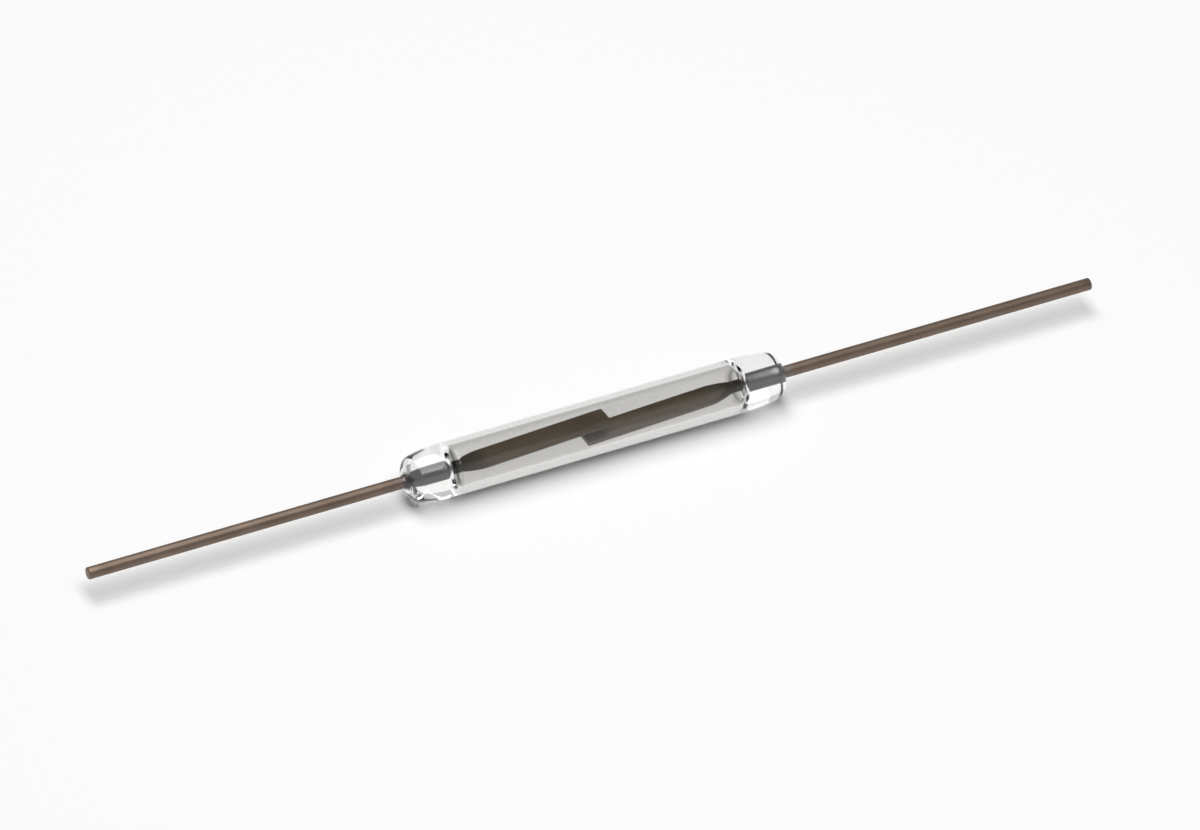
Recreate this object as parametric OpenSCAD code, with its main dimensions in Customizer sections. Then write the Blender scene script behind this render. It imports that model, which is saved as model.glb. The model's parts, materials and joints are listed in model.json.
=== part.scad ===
// Glass reed switch: two flattened wires sealed into the ends of a glass tube.
// Their overlapping tips spring apart, and a magnet pulls them together.
// The wires run along X, the flats of the blades face Z, and the origin is the middle of the tube.

/* [Glass envelope] */
// Outer diameter of the glass tube
glass_d = 2.7; // [2.5:0.05:3.4]
// Length of the glass over both melted ends
glass_len = 20.2; // [18:0.1:26]
// Wall of the tube between the seals
glass_wall = 0.4; // [0.3:0.01:0.5]
// Solid glass from the cavity to each melted end
seal_len = 2; // [1.5:0.05:3.2]
// Length of tube that is drawn in towards each melted end
draw_len = 2.2; // [1.6:0.05:3]
// Radius of the long curve that draws the tube in
draw_r = 9; // [7:0.5:20]
// Rounding of the melted ends
end_round = 0.6; // [0.3:0.05:0.8]
// Radius of the glass that creeps out along each lead
meniscus_r = 0.2; // [0.08:0.01:0.3]
// Thickness of that creeping glass at its outer edge
meniscus_rim = 0.03; // [0.02:0.01:0.08]

/* [Leads] */
// Length over both leads
overall_len = 54.2; // [44:0.1:80]
// Diameter of the drawn wire
lead_d = 0.6; // [0.5:0.01:0.7]
// Thickness of the tin coat outside the glass
tin_t = 0.006; // [0.003:0.001:0.02]
// Length over which the tin coat fades out at the glass
tin_fade = 0.6; // [0.55:0.05:2]
// Chamfer of the cut ends
cut_chamfer = 0.06; // [0.02:0.01:0.15]

/* [Blades] */
// Width of the flattened blade
blade_w = 1.3; // [1:0.02:1.4]
// Thickness of the flattened blade
blade_t = 0.25; // [0.2:0.01:0.35]
// Distance between the open contact faces
contact_gap = 0.5; // [0.2:0.01:0.55]
// Length by which the blade tips overlap
overlap = 1.3; // [0.6:0.05:2]
// Round wire that stands out of the seal before the flexing neck
stub_len = 0.6; // [0.4:0.05:1]
// Round wire between the neck and the pressed run-out
neck_len = 0.2; // [0.1:0.05:0.5]
// Length of the run-out from round wire to flat blade
press_len = 1.1; // [0.6:0.05:2]
// Rounding of the corners at the blade tips
tip_round = 0.16; // [0.05:0.01:0.3]

/* [Hidden] */
$fn = 96;

glass_r = glass_d / 2;
bore_r = glass_r - glass_wall;
lead_r = lead_d / 2;
tin_r = lead_r + tin_t;
glass_half = glass_len / 2;
lead_half = overall_len / 2;
cavity_half = glass_half - seal_len;

// The end rounding sits inside the long curve and touches it at the join.
draw_y = glass_half - draw_len;
draw_x = glass_r - draw_r;
round_y = glass_half - end_round;
round_x = draw_x + sqrt(pow(draw_r - end_round, 2) - pow(round_y - draw_y, 2));
join_y = draw_y + (round_y - draw_y) * draw_r / (draw_r - end_round);

// The creeping glass stays on the flat of the melted end.
creep_r = min(meniscus_r, round_x - lead_r - meniscus_rim);
creep_x = lead_r + meniscus_rim + creep_r;
creep_end = glass_half + creep_r;

// The cavity closes in on the wire in a quarter round.
close_r = bore_r - lead_r;
close_y = cavity_half - close_r;

// The necks are the axes about which the blades flex.
neck_x = cavity_half - stub_len;
open_angle = asin((blade_t + contact_gap) / (2 * neck_x));
blade_len = (neck_x + overlap / 2) / cos(open_angle);
flat_x = neck_len + press_len;

glass_colour = "#c6ccc6";
lead_colour = "#75665d";
blade_colour = "#50493f";

// Lays a half section, drawn as radius against length, along X.
module turned() {
    rotate([0, 90, 0])
        rotate_extrude()
            children();
}

// One end of the glass: straight tube, long curve, rounded end and creeping glass.
module half_glass_section() {
    square([glass_r, draw_y]);
    intersection() {
        translate([0, draw_y]) square([glass_r, join_y - draw_y]);
        translate([draw_x, draw_y]) circle(draw_r);
    }
    translate([round_x, round_y]) circle(end_round);
    translate([0, draw_y]) square([round_x, draw_len]);
    difference() {
        translate([0, glass_half]) square([creep_x, creep_r]);
        translate([creep_x, creep_end]) circle(creep_r);
    }
}

module cavity_section() {
    translate([0, -close_y]) square([bore_r, 2 * close_y]);
    for (end = [-1, 1])
        translate([lead_r, end * close_y]) circle(close_r);
}

module glass_envelope() {
    color(glass_colour, 0.35)
        turned()
            difference() {
                union() {
                    half_glass_section();
                    mirror([0, 1]) half_glass_section();
                }
                cavity_section();
                translate([lead_r - glass_r, -creep_end]) square([glass_r, 2 * creep_end]);
            }
}

// Round wire from the neck through the seal to the cut end, tinned outside the glass.
module lead() {
    color(lead_colour)
        turned()
            polygon([
                [0, neck_x],
                [lead_r, neck_x],
                [lead_r, creep_end],
                [tin_r, creep_end + tin_fade],
                [tin_r, lead_half - cut_chamfer],
                [tin_r - cut_chamfer, lead_half],
                [0, lead_half]
            ]);
}

module right_lead() {
    lead();
}

module left_lead() {
    rotate([0, 180, 0]) lead();
}

// Plan of the flat, a little wider than the blade so that only its corners cut the rolled edges.
module flat_plan() {
    half_w = blade_w / 2 + tip_round / 4;
    translate([flat_x, -half_w]) square([blade_len - tip_round - flat_x, 2 * half_w]);
    translate([flat_x, tip_round - half_w]) square([blade_len - flat_x, 2 * (half_w - tip_round)]);
    for (side = [-1, 1])
        translate([blade_len - tip_round, side * (half_w - tip_round)]) circle(tip_round);
}

// Wire pressed flat, lying along X from its neck: round root, run-out and blade with rolled edges.
module pressed_wire() {
    translate([-lead_r, 0, 0])
        rotate([0, 90, 0]) cylinder(r = lead_r, h = lead_r + neck_len);
    intersection() {
        translate([neck_len, 0, 0])
            rotate([0, 90, 0]) cylinder(r1 = lead_r, r2 = blade_w / 2, h = press_len);
        rotate([90, 0, 0])
            linear_extrude(2 * blade_w, center = true)
                polygon([
                    [neck_len, lead_r],
                    [flat_x, blade_t / 2],
                    [flat_x, -blade_t / 2],
                    [neck_len, -lead_r]
                ]);
    }
    intersection() {
        translate([flat_x, 0, 0])
            rotate([0, 90, 0]) cylinder(d = blade_w, h = blade_len - flat_x);
        linear_extrude(blade_t, center = true) flat_plan();
    }
}

// The blade leaves its neck at the open angle, and its root is cut square to meet the lead.
module blade() {
    color(blade_colour)
        intersection() {
            translate([-neck_x, 0, 0])
                rotate([0, -open_angle, 0]) pressed_wire();
            translate([-neck_x, -glass_r, -glass_r]) cube([2 * neck_x, glass_d, glass_d]);
        }
}

module left_blade() {
    blade();
}

module right_blade() {
    rotate([0, 180, 0]) blade();
}

glass_envelope();
left_lead();
right_lead();
left_blade();
right_blade();
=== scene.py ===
"""Dresses a glass reed switch: a clear drawn tube with a nickel-iron reed sealed into each end."""

import json
import math

import bmesh
import bpy
from bpy.props import FloatProperty, FloatVectorProperty, PointerProperty
from bpy.types import Operator, Panel, PropertyGroup
from mathutils import Matrix, Vector


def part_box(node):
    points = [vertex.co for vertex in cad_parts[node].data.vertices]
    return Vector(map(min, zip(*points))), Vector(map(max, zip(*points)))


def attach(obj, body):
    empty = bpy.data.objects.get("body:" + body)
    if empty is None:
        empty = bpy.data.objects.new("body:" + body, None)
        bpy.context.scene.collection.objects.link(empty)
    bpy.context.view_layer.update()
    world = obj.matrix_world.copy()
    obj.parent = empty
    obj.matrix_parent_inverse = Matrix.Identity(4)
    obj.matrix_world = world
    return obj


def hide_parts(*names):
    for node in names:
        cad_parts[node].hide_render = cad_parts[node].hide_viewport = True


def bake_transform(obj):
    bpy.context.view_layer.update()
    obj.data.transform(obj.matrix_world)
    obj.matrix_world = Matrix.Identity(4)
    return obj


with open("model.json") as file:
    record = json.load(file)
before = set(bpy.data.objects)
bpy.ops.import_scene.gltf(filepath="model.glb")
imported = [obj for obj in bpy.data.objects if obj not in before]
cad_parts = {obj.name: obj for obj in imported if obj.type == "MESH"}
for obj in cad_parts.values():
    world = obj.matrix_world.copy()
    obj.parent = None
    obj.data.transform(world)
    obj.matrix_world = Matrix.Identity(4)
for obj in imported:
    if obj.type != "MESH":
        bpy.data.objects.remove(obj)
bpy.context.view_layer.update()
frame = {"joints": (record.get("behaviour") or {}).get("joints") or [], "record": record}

bl_info = {
    "name": "Glass reed switch",
    "version": (1, 0, 0),
    "blender": (4, 5, 0),
    "location": "View3D > Sidebar > Reed switch",
    "description": "Models the glass, the reeds and the stage of a glass reed switch",
    "category": "Add Mesh",
}

MM = 0.001

# The frame gives the sizes that the solids share with these pieces.
MOUNTS = {mount["name"]: mount for mount in frame["record"]["mounts"]}
JOINTS = {joint["name"]: joint for joint in frame["joints"]}
GLASS_LOW, GLASS_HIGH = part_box("glass_envelope")
BLADE_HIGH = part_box("left_blade")[1]
LEAD_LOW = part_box("left_lead")[0]
LEAD_PIN = MOUNTS["left_lead_pin"]

# Smallest distance at which two vertices count as one, far under the thinnest detail.
MERGE = 0.0001 * MM

# Edges that turn by more than this stay sharp.
SHARP_EDGE = math.radians(40)

# Steps round the glass and round the wire, and along the arcs of the glass section.
GLASS_SIDES = 160
WIRE_SIDES = 72
END_STEPS = 16
CREEP_STEPS = 10
CLOSE_STEPS = 32

# Rings in the rounding of a cut end and of a blade tip.
CUT_RINGS = 6
TIP_RINGS = 12

# Sharpness of the edge along the pressed flats, where the run-out starts and on the blade.
START_EDGE = 90
BLADE_EDGE = 8

# Length and width in millimetres of the patterns that run along the switch.
GLASS_WAVE_MM = (25, 1.6)
ROLLED_STREAK_MM = (3, 0.12)
# Die lines are finer than this on the real wire, and are drawn wide enough to show.
DIE_LINE_MM = (6, 0.07)

# Width in millimetres of the patches of brown film on the tin.
FILM_PATCH_MM = 1.5

# Share of the closing radius by which the painted grey shade of the tube reaches past its cavity.
GREY_PAST = 0.2

# Length of the darkening of the blade towards its seal, in lengths of the run-out.
NECK_DARK_REACH = 2

# Photograph frame, and where the middle of the switch lies in it, right of and above its centre.
IMAGE_W_PX = 1200
AIM_RIGHT_PX = -6.5
AIM_UP_PX = -12.2


def linear(hex_colour):
    """Turns an sRGB hex colour into the linear red, green and blue that shaders take."""
    values = [int(hex_colour[i : i + 2], 16) / 255 for i in (1, 3, 5)]
    return tuple(v / 12.92 if v <= 0.04045 else ((v + 0.055) / 1.055) ** 2.4 for v in values)


def length(name, description, default):
    """A size property in metres."""
    return FloatProperty(name=name, description=description, default=default, precision=6, unit="LENGTH")


def angle(name, description, degrees):
    """An angle property."""
    return FloatProperty(
        name=name, description=description, default=math.radians(degrees), subtype="ANGLE"
    )


def colour(name, description, hex_colour):
    """A colour property whose default is an sRGB hex value."""
    return FloatVectorProperty(
        name=name, description=description, default=linear(hex_colour), subtype="COLOR", min=0, max=1
    )


class GlassSettings(PropertyGroup):
    """Sizes and colours of the glass envelope"""

    tube_r: length("Tube radius", "Outside radius of the straight tube", GLASS_HIGH.z)
    straight: length(
        "Straight half", "Half the straight tube", MOUNTS["glass_body"]["dims"]["length_mm"] / 2 * MM
    )
    wall: length("Wall", "Thickness of the tube between the seals", 0.4 * MM)
    creep_end: length("Glass half", "Half the glass over the creeping edges", GLASS_HIGH.x)
    creep_r: length("Creep radius", "Radius of the glass that creeps out along a lead", 0.2 * MM)
    creep_rim: length("Creep rim", "Thickness of the creeping glass at its edge", 0.03 * MM)
    draw_r: length("Draw radius", "Radius of the long curve that draws the tube in", 9 * MM)
    end_round: length("End rounding", "Rounding of the melted ends", 0.6 * MM)
    seal: length("Seal", "Solid glass from the cavity to a melted end", 2 * MM)
    bite: length("Bite", "Depth by which the glass grips into the wire", 0.004 * MM)
    tint: colour("Tint", "Colour of the flame-polished ends", "#fbfaf9")
    # Painted shade: the tube between the seals is tinted grey for the shadow and dark surroundings seen
    # through it; the glass itself is as clear as at the ends.
    tin_film_and_tube_shade: colour("Film", "Faint grey of the tube between the seals", "#e6e5e3")
    # Painted shade: a dark grey ring where the cavity closes stands in for the dark refraction and
    # reflections seen at the cavity end.
    painted_ring_shade: colour("Cloud", "Grey film that the flame leaves where the cavity closes", "#4a4948")


class ReedSettings(PropertyGroup):
    """Sizes and colours of the two reeds"""

    cut_x: length("Cut end", "Distance from the middle to the cut end of a lead", -LEAD_LOW.x)
    tin_r: length("Tinned radius", "Radius of the tinned lead", LEAD_PIN["dims"]["r_mm"] * MM)
    wire_r: length("Wire radius", "Radius of the bare wire", 0.3 * MM)
    tin_fade: length("Tin fade", "Length over which the tin coat fades out", 0.6 * MM)
    neck_x: length(
        "Neck", "Distance from the middle to the flexing neck", JOINTS["right_reed_flex"]["pos_m"][0]
    )
    bend: length("Bend", "Length of wire that takes the bend at the neck", 0.4 * MM)
    neck_len: length("Neck length", "Round wire between the neck and the run-out", 0.2 * MM)
    press_len: length("Run-out", "Length from round wire to flat blade", 1.1 * MM)
    blade_half: length("Blade half", "Half the width of the blade", BLADE_HIGH.y)
    blade_t: length("Blade thickness", "Thickness of the flat blade", 0.25 * MM)
    overlap: length("Overlap", "Length by which the blade tips overlap", 1.3 * MM)
    tip_round: length("Tip rounding", "Rounding of the corners at the tip", 0.16 * MM)
    burr: length("Burr", "Softening of the rim at the tip", 0.02 * MM)
    cut_round: length("Cut rounding", "Rounding of the cut end of a lead", 0.06 * MM)
    contact_gap: length("Contact distance", "Distance between the open contacts", 0.5 * MM)
    tin: colour("Tin", "Dull tin coat of the leads", "#847467")
    tin_dark: colour("Dark tin", "Brown film on the tin coat", "#66574c")
    sealed: colour("Sealed wire", "Oxide on the wire inside the seals", "#747476")
    blade: colour("Blade", "Pressed nickel-iron", "#7d715f")
    blade_dark: colour("Dark blade", "Rolled streaks on the blade", "#615548")
    # The blade turns darker towards its neck and seal.
    neck_dark: colour("Heat tint", "Blade darkened by the flame next to its seal", "#4c483f")


class StageSettings(PropertyGroup):
    """Camera, floor and light"""

    azimuth: angle("Azimuth", "Turn of the camera", -26.2)
    elevation: angle("Elevation", "Height of the camera", 36)
    lens: FloatProperty(name="Lens", description="Focal length", default=600, subtype="DISTANCE_CAMERA")
    frame_w: length("Frame width", "Width of the picture at the switch", 58.25 * MM)
    floor_half: length("Floor half", "Half the side of the floor", 1.5)
    card_r: length("Card radius", "Radius of the floor that shows shadows", 0.06)
    lamp_w: length("Lamp width", "Width of the soft lamp along the switch", 0.2)
    lamp_d: length("Lamp depth", "Depth of the soft lamp across the switch", 0.66)
    lamp_far: length("Lamp distance", "Distance of the soft lamp", 0.4)
    lamp_lean: angle("Lamp lean", "Lean of the lamp to the front", 2)
    lamp_watts: FloatProperty(name="Lamp power", description="Power of the lamp", default=2.05, unit="POWER")
    sky: FloatProperty(name="Sky strength", description="Light from all round", default=0.08)
    wall: FloatProperty(
        name="Wall", description="Brightness of the walls seen in glass and metal", default=0.6
    )
    wall_top: angle("Wall top", "Height to which the walls are white", 24)
    ceiling: angle("Ceiling", "Height above which the ceiling is dim", 50)
    floor: colour("Floor", "Pale floor", "#ffffff")
    backdrop: FloatProperty(
        name="Backdrop", description="Share of plain white in the floor seen in glass and metal", default=0.8
    )


def add_node(tree, kind, inputs=None, links=None, **settings):
    """Adds a node with its settings, its input values and the sockets that feed it."""
    node = tree.nodes.new(kind)
    for name, value in settings.items():
        setattr(node, name, value)
    for name, value in (inputs or {}).items():
        node.inputs[name].default_value = value
    for name, source in (links or {}).items():
        tree.links.new(source, node.inputs[name])
    return node


def new_material(name):
    """A material with a bare Principled shader, and its node tree and shader."""
    material = bpy.data.materials.new(name)
    material.use_nodes = True
    return material, material.node_tree, material.node_tree.nodes["Principled BSDF"]


def per_mm(millimetres):
    """Scale at which a texture on metre coordinates repeats once in this many millimetres."""
    return 1 / (millimetres * MM)


def streaks(tree, place, size_mm, detail):
    """Output with a noise whose streaks lie along the switch and have this length and width."""
    along, across = size_mm
    drawn = add_node(
        tree,
        "ShaderNodeMapping",
        {"Scale": (per_mm(along), per_mm(across), per_mm(across))},
        {"Vector": place},
    )
    noise = add_node(
        tree, "ShaderNodeTexNoise", {"Scale": 1, "Detail": detail}, {"Vector": drawn.outputs["Vector"]}
    )
    return noise.outputs["Fac"]


def from_middle(tree, place):
    """Output with the distance from the middle of the switch along its axis."""
    axis = add_node(tree, "ShaderNodeSeparateXYZ", links={"Vector": place})
    along = add_node(
        tree, "ShaderNodeMath", links={"Value": axis.outputs["X"]}, operation="ABSOLUTE"
    )
    return along.outputs["Value"]


def from_axis(tree, place):
    """Output with the distance from the axis of the switch."""
    across = add_node(
        tree, "ShaderNodeVectorMath", {1: (0, 1, 1)}, {0: place}, operation="MULTIPLY"
    )
    radius = add_node(
        tree, "ShaderNodeVectorMath", links={0: across.outputs["Vector"]}, operation="LENGTH"
    )
    return radius.outputs["Value"]


def cavity_end(glass):
    """Distance from the middle of the tube to the end of its cavity."""
    return glass.creep_end - glass.creep_r - glass.seal


def closing_radius(glass, wire_r):
    """Radius of the quarter round in which the cavity closes in on the wire."""
    return glass.tube_r - glass.wall - wire_r


def drawn_glass(settings, wire_r):
    """Drawn glass: bright edges, faint waves, painted shade as grey in the tube between the seals, and a
    painted dark ring where the cavity closes.
    """
    cavity_x = cavity_end(settings)
    close_r = closing_radius(settings, wire_r)
    grey_past = GREY_PAST * close_r
    material, tree, shader = new_material("drawn soda glass")
    shader.inputs["Transmission Weight"].default_value = 1
    shader.inputs["IOR"].default_value = 1.5
    shader.inputs["Roughness"].default_value = 0
    place = add_node(tree, "ShaderNodeTexCoord").outputs["Object"]
    along = from_middle(tree, place)
    cleared = add_node(
        tree,
        "ShaderNodeMapRange",
        {"From Min": cavity_x - close_r + grey_past, "From Max": cavity_x + grey_past},
        {"Value": along},
        interpolation_type="SMOOTHSTEP",
    )
    # Painted shade: grey in the tube between the seals, clear glass towards the ends.
    grey = add_node(
        tree,
        "ShaderNodeMix",
        {"A": (*settings.tin_film_and_tube_shade, 1), "B": (*settings.tint, 1)},
        {"Factor": cleared.outputs["Result"]},
        data_type="RGBA",
    )
    # The painted dark ring lies only on the inside of the tube, darkest halfway along the quarter round.
    inside = add_node(
        tree,
        "ShaderNodeMath",
        {1: settings.tube_r - settings.wall / 2},
        {0: from_axis(tree, place)},
        operation="LESS_THAN",
    )
    closing = add_node(
        tree,
        "ShaderNodeMapRange",
        {"From Min": cavity_x - close_r, "From Max": cavity_x, "To Max": 2},
        {"Value": along},
    )
    ring = add_node(
        tree, "ShaderNodeMath", {1: 1}, {0: closing.outputs["Result"]}, operation="PINGPONG"
    )
    painted_ring_shade = add_node(
        tree,
        "ShaderNodeMath",
        links={0: inside.outputs["Value"], 1: ring.outputs["Value"]},
        operation="MULTIPLY",
    )
    ring_shaded = add_node(
        tree,
        "ShaderNodeMix",
        {"B": (*settings.painted_ring_shade, 1)},
        {"Factor": painted_ring_shade.outputs["Value"], "A": grey.outputs["Result"]},
        data_type="RGBA",
    )
    bump = add_node(
        tree,
        "ShaderNodeBump",
        {"Strength": 0.2, "Distance": 0.004 * MM},
        {"Height": streaks(tree, place, GLASS_WAVE_MM, 1)},
    )
    tree.links.new(ring_shaded.outputs["Result"], shader.inputs["Base Color"])
    tree.links.new(bump.outputs["Normal"], shader.inputs["Normal"])
    return material


def tinned_wire(settings, seal_x):
    """Drawn nickel-iron under dull tin: die lines along the wire, brown film, grey oxide in the seal."""
    material, tree, shader = new_material("tinned nickel-iron wire")
    shader.inputs["Metallic"].default_value = 1
    place = add_node(tree, "ShaderNodeTexCoord").outputs["Object"]
    die_lines = streaks(tree, place, DIE_LINE_MM, 2)
    patches = add_node(
        tree, "ShaderNodeTexNoise", {"Scale": per_mm(FILM_PATCH_MM), "Detail": 4}, {"Vector": place}
    )
    tin_film_and_tube_shade = add_node(
        tree,
        "ShaderNodeMix",
        {"A": (*settings.tin, 1), "B": (*settings.tin_dark, 1)},
        {"Factor": patches.outputs["Fac"]},
        data_type="RGBA",
    )
    inside = add_node(
        tree,
        "ShaderNodeMapRange",
        {"From Min": seal_x + settings.tin_fade, "From Max": seal_x - settings.tin_fade},
        {"Value": from_middle(tree, place)},
    )
    zones = add_node(
        tree,
        "ShaderNodeMix",
        {"B": (*settings.sealed, 1)},
        {"Factor": inside.outputs["Result"], "A": tin_film_and_tube_shade.outputs["Result"]},
        data_type="RGBA",
    )
    rough = add_node(
        tree,
        "ShaderNodeMapRange",
        {"To Min": 0.34, "To Max": 0.52},
        {"Value": die_lines},
    )
    bump = add_node(
        tree,
        "ShaderNodeBump",
        {"Strength": 0.5, "Distance": 0.006 * MM},
        {"Height": die_lines},
    )
    tree.links.new(zones.outputs["Result"], shader.inputs["Base Color"])
    tree.links.new(rough.outputs["Result"], shader.inputs["Roughness"])
    tree.links.new(bump.outputs["Normal"], shader.inputs["Normal"])
    return material


def pressed_metal(settings):
    """Pressed nickel-iron: dark, matt, with rolled streaks along the blade, and darker towards the seal."""
    material, tree, shader = new_material("pressed nickel-iron")
    shader.inputs["Metallic"].default_value = 1
    place = add_node(tree, "ShaderNodeTexCoord").outputs["Object"]
    rolled = streaks(tree, place, ROLLED_STREAK_MM, 3)
    tone = add_node(
        tree,
        "ShaderNodeMix",
        {"A": (*settings.blade, 1), "B": (*settings.blade_dark, 1)},
        {"Factor": rolled},
        data_type="RGBA",
    )
    # Darker towards the neck and seal.
    near_neck = add_node(
        tree,
        "ShaderNodeMapRange",
        {"From Min": settings.neck_x - NECK_DARK_REACH * settings.press_len, "From Max": settings.neck_x},
        {"Value": from_middle(tree, place)},
        interpolation_type="SMOOTHSTEP",
    )
    tinted = add_node(
        tree,
        "ShaderNodeMix",
        {"B": (*settings.neck_dark, 1)},
        {"Factor": near_neck.outputs["Result"], "A": tone.outputs["Result"]},
        data_type="RGBA",
    )
    rough = add_node(
        tree,
        "ShaderNodeMapRange",
        {"To Min": 0.42, "To Max": 0.58},
        {"Value": rolled},
    )
    bump = add_node(
        tree,
        "ShaderNodeBump",
        {"Strength": 0.4, "Distance": 0.005 * MM},
        {"Height": rolled},
    )
    tree.links.new(tinted.outputs["Result"], shader.inputs["Base Color"])
    tree.links.new(rough.outputs["Result"], shader.inputs["Roughness"])
    tree.links.new(bump.outputs["Normal"], shader.inputs["Normal"])
    return material


def seen_by(tree):
    """Outputs that are 1 for rays from the camera, and for rays that look out of the glass and metal."""
    path = add_node(tree, "ShaderNodeLightPath").outputs
    switch = add_node(
        tree,
        "ShaderNodeMath",
        links={0: path["Is Glossy Ray"], 1: path["Is Transmission Ray"]},
        operation="MAXIMUM",
    )
    return path["Is Camera Ray"], switch.outputs["Value"]


def pale_floor(settings):
    """Matt white card, plain white far off. Glass and metal show it brighter than it is in the shadow."""
    material, tree, shader = new_material("matt white card")
    shader.inputs["Base Color"].default_value = (*settings.floor, 1)
    shader.inputs["Roughness"].default_value = 1
    shader.inputs["Specular IOR Level"].default_value = 0
    camera, switch = seen_by(tree)
    place = add_node(tree, "ShaderNodeTexCoord").outputs["Object"]
    # The card turns plain white between one and two of its radii.
    away = add_node(tree, "ShaderNodeVectorMath", links={0: place}, operation="LENGTH")
    far = add_node(
        tree,
        "ShaderNodeMapRange",
        {"From Min": settings.card_r, "From Max": 2 * settings.card_r},
        {"Value": away.outputs["Value"]},
        interpolation_type="SMOOTHSTEP",
    )
    plain = add_node(
        tree, "ShaderNodeMath", links={0: camera, 1: far.outputs["Result"]}, operation="MULTIPLY"
    )
    share = add_node(
        tree,
        "ShaderNodeMath",
        {1: settings.backdrop},
        {0: switch, 2: plain.outputs["Value"]},
        operation="MULTIPLY_ADD",
    )
    white = add_node(tree, "ShaderNodeEmission", {"Color": (*settings.floor, 1), "Strength": 1})
    mix = add_node(
        tree,
        "ShaderNodeMixShader",
        links={0: share.outputs["Value"], 1: shader.outputs["BSDF"], 2: white.outputs["Emission"]},
    )
    tree.links.new(mix.outputs["Shader"], tree.nodes["Material Output"].inputs["Surface"])
    return material


def studio_walls(settings):
    """White walls under a dim ceiling: plain white to the camera, pale low down in the glass and metal."""
    world = bpy.data.worlds.new("studio walls")
    world.use_nodes = True
    tree = world.node_tree
    light = tree.nodes["Background"]
    light.inputs["Color"].default_value = (1, 1, 1, 1)
    light.inputs["Strength"].default_value = settings.sky
    place = add_node(tree, "ShaderNodeTexCoord").outputs["Generated"]
    height = add_node(tree, "ShaderNodeSeparateXYZ", links={"Vector": place})
    low = add_node(
        tree,
        "ShaderNodeMapRange",
        {"From Min": math.sin(settings.ceiling), "From Max": math.sin(settings.wall_top)},
        {"Value": height.outputs["Z"]},
        interpolation_type="SMOOTHSTEP",
    )
    camera, switch = seen_by(tree)
    share = add_node(
        tree,
        "ShaderNodeMath",
        links={0: low.outputs["Result"], 1: switch, 2: camera},
        operation="MULTIPLY_ADD",
    )
    white = add_node(
        tree, "ShaderNodeMapRange", {"To Min": settings.wall, "To Max": 1}, {"Value": camera}
    )
    wall = add_node(
        tree, "ShaderNodeBackground", {"Color": (1, 1, 1, 1)}, {"Strength": white.outputs["Result"]}
    )
    mix = add_node(
        tree,
        "ShaderNodeMixShader",
        links={0: share.outputs["Value"], 1: light.outputs["Background"], 2: wall.outputs["Background"]},
    )
    tree.links.new(mix.outputs["Shader"], tree.nodes["World Output"].inputs["Surface"])
    return world


def finished(bm, name, materials):
    """Puts a bmesh into a smooth-shaded object at the origin."""
    mesh = bpy.data.meshes.new(name)
    bm.to_mesh(mesh)
    bm.free()
    mesh.shade_smooth()
    mesh.set_sharp_from_angle(angle=SHARP_EDGE)
    for material in materials:
        mesh.materials.append(material)
    piece = bpy.data.objects.new(name, mesh)
    bpy.context.scene.collection.objects.link(piece)
    return piece


def line_to(bm, vert, x, r):
    """Draws a straight stretch of a half section from vert, and gives its end."""
    end = bmesh.ops.extrude_vert_indiv(bm, verts=[vert])["verts"][0]
    end.co = (x, 0, r)
    return end


def arc_by(bm, vert, x, r, degrees, steps):
    """Draws an arc of a half section from vert about the centre at x and r, and gives its end."""
    swept = bmesh.ops.spin(
        bm,
        geom=[vert],
        cent=(x, 0, r),
        axis=(0, 1, 0),
        angle=math.radians(degrees),
        steps=steps,
    )
    return next(g for g in swept["geom_last"] if isinstance(g, bmesh.types.BMVert))


def half_section(bm, size, wire_r):
    """Draws half the glass section, from the middle of the outside round one seal to the middle inside."""
    end_x = size.creep_end - size.creep_r
    cavity_x = cavity_end(size)
    close_r = closing_radius(size, wire_r)
    # The end rounding sits inside the long curve and touches it.
    draw_centre = size.tube_r - size.draw_r
    round_x = end_x - size.end_round
    reach = size.draw_r - size.end_round
    round_r = draw_centre + math.sqrt(reach**2 - (round_x - size.straight) ** 2)
    drawn = math.degrees(math.asin((round_x - size.straight) / reach))
    creep_centre = wire_r + size.creep_rim + size.creep_r

    vert = bm.verts.new((0, 0, size.tube_r))
    vert = line_to(bm, vert, size.straight, size.tube_r)
    vert = arc_by(bm, vert, size.straight, draw_centre, drawn, END_STEPS)
    vert = arc_by(bm, vert, round_x, round_r, 90 - drawn, END_STEPS)
    vert = line_to(bm, vert, end_x, creep_centre)
    vert = arc_by(bm, vert, size.creep_end, creep_centre, -90, CREEP_STEPS)
    vert = line_to(bm, vert, size.creep_end, wire_r - size.bite)
    vert = line_to(bm, vert, cavity_x, wire_r - size.bite)
    vert = line_to(bm, vert, cavity_x, wire_r)
    vert = arc_by(bm, vert, cavity_x - close_r, wire_r, -90, CLOSE_STEPS)
    line_to(bm, vert, 0, size.tube_r - size.wall)


def press(z, half, sharpness):
    """Flattens a height between dies at plus and minus half, with softened edges."""
    share = abs(z) / half
    return z / (1 + share**sharpness) ** (1 / sharpness)


def cut_in(distance, radius):
    """Amount by which an end rounding of this radius cuts in at this distance from the end."""
    short = max(radius - distance, 0)
    return radius - math.sqrt(radius**2 - short**2)


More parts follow.
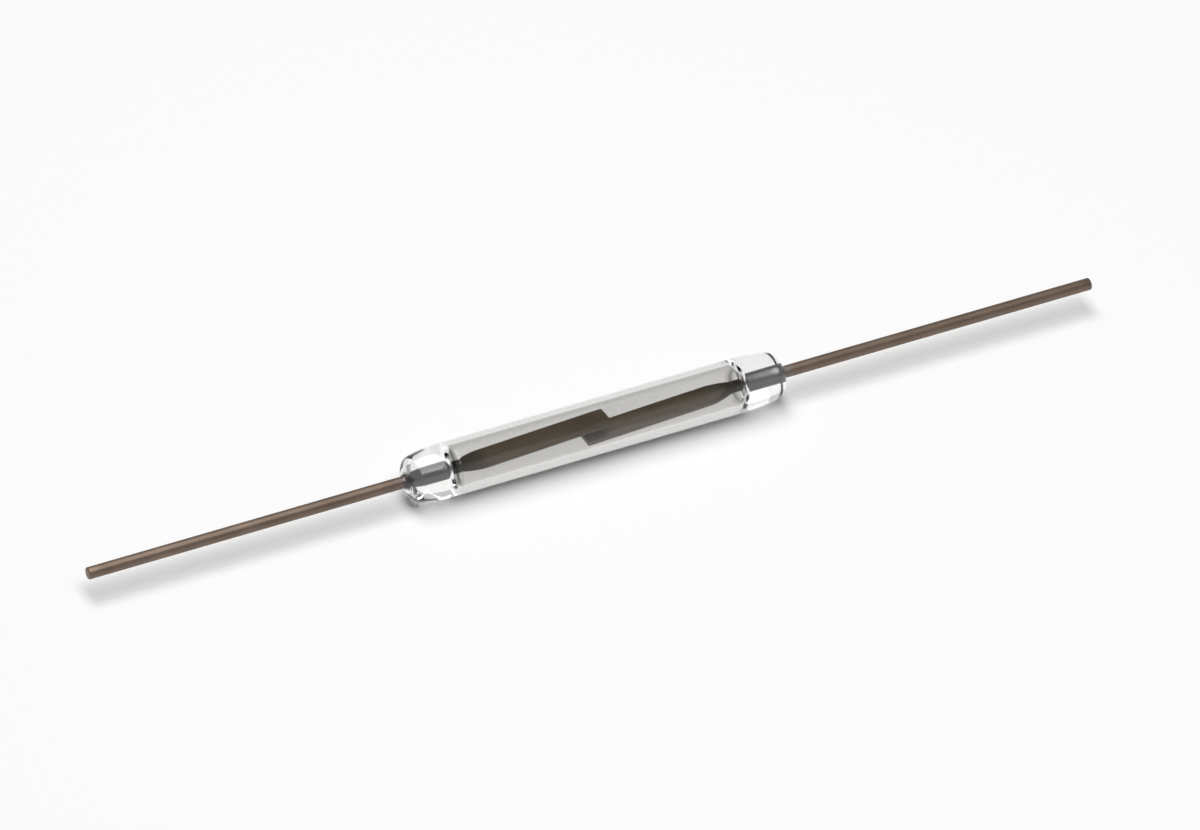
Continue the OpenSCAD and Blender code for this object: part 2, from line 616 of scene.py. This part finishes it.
def shape_ring(ring, x, size, seal_x, tip_x):
    """Gives a ring of unit radius the section of the reed at x: tinned, bare, run-out, blade or tip."""
    tinned = min(max((-x - seal_x) / size.tin_fade, 0), 1)
    pressed = min(max((x + size.neck_x - size.neck_len) / size.press_len, 0), 1)
    soft = cut_in(tip_x - x, size.burr) + cut_in(x + size.cut_x, size.cut_round)
    radius = size.wire_r + tinned * (size.tin_r - size.wire_r)
    radius += pressed * (size.blade_half - size.wire_r)
    # The plan of the tip is a little wider than the blade, so that its corners only cut the rolled edges.
    plan_half = size.blade_half + size.tip_round / 4 - cut_in(tip_x - x, size.tip_round)
    radius = min(radius, plan_half) - soft
    half = size.wire_r + pressed * (size.blade_t / 2 - size.wire_r) - soft
    sharpness = START_EDGE + pressed * (BLADE_EDGE - START_EDGE)
    for vert in ring:
        y, z = vert.co.y * radius, vert.co.z * radius
        vert.co = (x, y, press(z, half, sharpness) if pressed else z)


def end_steps(radius, steps):
    """Distances from an end at which its rounding gets rings."""
    return [radius * (1 - math.sin(math.pi / 2 * i / steps)) for i in range(steps + 1)]


def stations(size, seal_x, tip_x):
    """Places along the straightened reed at which it gets a ring, close where its section changes."""
    # Start, end and number of rings of each stretch between the two ends.
    stretches = (
        (-size.cut_x + size.cut_round, -seal_x - size.tin_fade, 24),
        (-seal_x - size.tin_fade, -seal_x, 6),
        (-seal_x, -size.neck_x - size.bend / 2, 8),
        (-size.neck_x - size.bend / 2, -size.neck_x + size.bend / 2, 10),
        (-size.neck_x + size.bend / 2, -size.neck_x + size.neck_len + size.press_len, 30),
        (-size.neck_x + size.neck_len + size.press_len, tip_x - size.tip_round, 16),
    )
    places = [distance - size.cut_x for distance in reversed(end_steps(size.cut_round, CUT_RINGS))]
    for start, end, steps in stretches:
        places += [start + (end - start) * i / steps for i in range(1, steps + 1)]
    return places + [tip_x - distance for distance in end_steps(size.tip_round, TIP_RINGS)[1:]]


def bend_reed(bm, rings, places, size, open_angle):
    """Bends the straight reed up over the bend's length at its neck, and carries the blade with it."""
    start = -size.neck_x - size.bend / 2
    centre = Vector((start, 0, size.bend / open_angle))
    for ring, x in zip(rings, places):
        past = max(x - start, 0)
        turn = open_angle * min(past / size.bend, 1)
        bmesh.ops.translate(bm, verts=ring, vec=(-min(past, size.bend), 0, 0))
        bmesh.ops.rotate(bm, verts=ring, cent=centre, matrix=Matrix.Rotation(-turn, 3, "Y"))


def reed_mesh(size, seal_x):
    """One reed with its lead to the left: a tube of rings that is drawn, pressed, bent and capped."""
    open_angle = math.asin((size.blade_t + size.contact_gap) / (2 * size.neck_x))
    tip_x = (size.neck_x + size.overlap / 2) / math.cos(open_angle) - size.neck_x
    places = stations(size, seal_x, tip_x)
    bm = bmesh.new()
    upright = Matrix.Translation((places[0], 0, 0)) @ Matrix.Rotation(math.pi / 2, 4, "Y")
    rings = [bmesh.ops.create_circle(bm, segments=WIRE_SIDES, radius=1, matrix=upright)["verts"]]
    edges = bm.edges[:]
    for before, after in zip(places, places[1:]):
        grown = bmesh.ops.extrude_edge_only(bm, edges=edges)["geom"]
        rings.append([g for g in grown if isinstance(g, bmesh.types.BMVert)])
        edges = [g for g in grown if isinstance(g, bmesh.types.BMEdge)]
        bmesh.ops.translate(bm, verts=rings[-1], vec=(after - before, 0, 0))
    for ring, x in zip(rings, places):
        shape_ring(ring, x, size, seal_x, tip_x)
    bend_reed(bm, rings, places, size, open_angle)
    bmesh.ops.holes_fill(bm, edges=bm.edges)
    bmesh.ops.recalc_face_normals(bm, faces=bm.faces)
    return bm


def soft_lamp(size):
    """Hangs a wide soft lamp over the switch, leaning to the front."""
    lamp = bpy.data.lights.new("soft lamp", "AREA")
    lamp.shape = "RECTANGLE"
    lamp.size = size.lamp_w
    lamp.size_y = size.lamp_d
    lamp.energy = size.lamp_watts
    hung = bpy.data.objects.new("soft lamp", lamp)
    hung.rotation_euler.x = size.lamp_lean
    hung.location = Matrix.Rotation(size.lamp_lean, 3, "X") @ Vector((0, 0, size.lamp_far))
    bpy.context.scene.collection.objects.link(hung)


def photo_camera(size):
    """Sets a camera with a long lens at the angle of the photograph, and gives its object."""
    camera = bpy.data.cameras.new("camera")
    camera.lens = size.lens
    level = math.cos(size.elevation)
    back = Vector(
        (math.sin(size.azimuth) * level, -math.cos(size.azimuth) * level, math.sin(size.elevation))
    )
    turn = (-back).to_track_quat("-Z", "Y")
    pixel = size.frame_w / IMAGE_W_PX
    aim = turn @ Vector((-AIM_RIGHT_PX * pixel, -AIM_UP_PX * pixel, 0))
    held = bpy.data.objects.new("camera", camera)
    held.rotation_mode = "QUATERNION"
    held.rotation_quaternion = turn
    held.location = aim + back * (size.frame_w * size.lens / camera.sensor_width)
    bpy.context.scene.collection.objects.link(held)
    return held


class REED_OT_glass(Operator):
    """Spins the glass envelope from its half section"""

    bl_idname = "reed.glass"
    bl_label = "Glass envelope"

    def execute(self, context):
        size = context.scene.reed_glass
        wire_r = context.scene.reed_wire.wire_r
        bm = bmesh.new()
        half_section(bm, size, wire_r)
        half = bm.verts[:] + bm.edges[:]
        bmesh.ops.mirror(bm, geom=half, axis="X", merge_dist=MERGE)
        bmesh.ops.spin(
            bm,
            geom=bm.verts[:] + bm.edges[:],
            cent=(0, 0, 0),
            axis=(1, 0, 0),
            angle=2 * math.pi,
            steps=GLASS_SIDES,
            use_merge=True,
        )
        bmesh.ops.remove_doubles(bm, verts=bm.verts, dist=MERGE)
        bmesh.ops.recalc_face_normals(bm, faces=bm.faces)
        glass = finished(bm, "glass_tube", [drawn_glass(size, wire_r)])
        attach(glass, "envelope")
        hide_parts("glass_envelope")
        return {"FINISHED"}


class REED_OT_reeds(Operator):
    """Draws, presses and bends both reeds, each one wire from its cut end to its contact"""

    bl_idname = "reed.reeds"
    bl_label = "Reeds"

    def execute(self, context):
        size = context.scene.reed_wire
        glass = context.scene.reed_glass
        seal_x = glass.creep_end
        cavity_x = cavity_end(glass)
        materials = [tinned_wire(size, seal_x), pressed_metal(size)]
        for side, sign, turn in (("left", -1, 0), ("right", 1, math.pi)):
            bm = reed_mesh(size, seal_x)
            for face in bm.faces:
                face.material_index = int(face.calc_center_median().x > -cavity_x)
            bmesh.ops.rotate(bm, verts=bm.verts, matrix=Matrix.Rotation(turn, 3, "Y"))
            reed = finished(bm, f"{side}_reed_wire", materials)
            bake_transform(reed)
            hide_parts(f"{side}_lead", f"{side}_blade")
        return {"FINISHED"}


class REED_OT_stage(Operator):
    """Lays the pale floor and sets the light and the camera"""

    bl_idname = "reed.stage"
    bl_label = "Stage"

    def execute(self, context):
        scene = context.scene
        size = scene.reed_stage
        scene.view_settings.view_transform = "Standard"

        bm = bmesh.new()
        under = Matrix.Translation((0, 0, GLASS_LOW.z))
        bmesh.ops.create_grid(bm, x_segments=1, y_segments=1, size=size.floor_half, matrix=under)
        finished(bm, "floor", [pale_floor(size)])

        scene.world = studio_walls(size)
        soft_lamp(size)
        scene.camera = photo_camera(size)
        return {"FINISHED"}


class REED_PT_panel(Panel):
    """Lists the steps and their settings"""

    bl_idname = "REED_PT_panel"
    bl_label = "Reed switch"
    bl_space_type = "VIEW_3D"
    bl_region_type = "UI"
    bl_category = "Reed switch"

    def draw(self, context):
        for step, settings in STEPS:
            box = self.layout.box()
            box.operator(step.bl_idname)
            group = getattr(context.scene, settings)
            for name in group.__annotations__:
                box.prop(group, name)


STEPS = (
    (REED_OT_glass, "reed_glass"),
    (REED_OT_reeds, "reed_wire"),
    (REED_OT_stage, "reed_stage"),
)
GROUPS = {"reed_glass": GlassSettings, "reed_wire": ReedSettings, "reed_stage": StageSettings}
CLASSES = (*GROUPS.values(), *(step for step, _ in STEPS), REED_PT_panel)


def register():
    """Registers the settings, the steps and the panel."""
    for cls in CLASSES:
        bpy.utils.register_class(cls)
    for name, group in GROUPS.items():
        setattr(bpy.types.Scene, name, PointerProperty(type=group))


def unregister():
    """Takes out what register put in."""
    for name in GROUPS:
        delattr(bpy.types.Scene, name)
    for cls in reversed(CLASSES):
        bpy.utils.unregister_class(cls)


def main():
    """Makes all the pieces and the stage."""
    register()
    bpy.ops.reed.glass()
    bpy.ops.reed.reeds()
    bpy.ops.reed.stage()


if __name__ == "__main__":
    main()
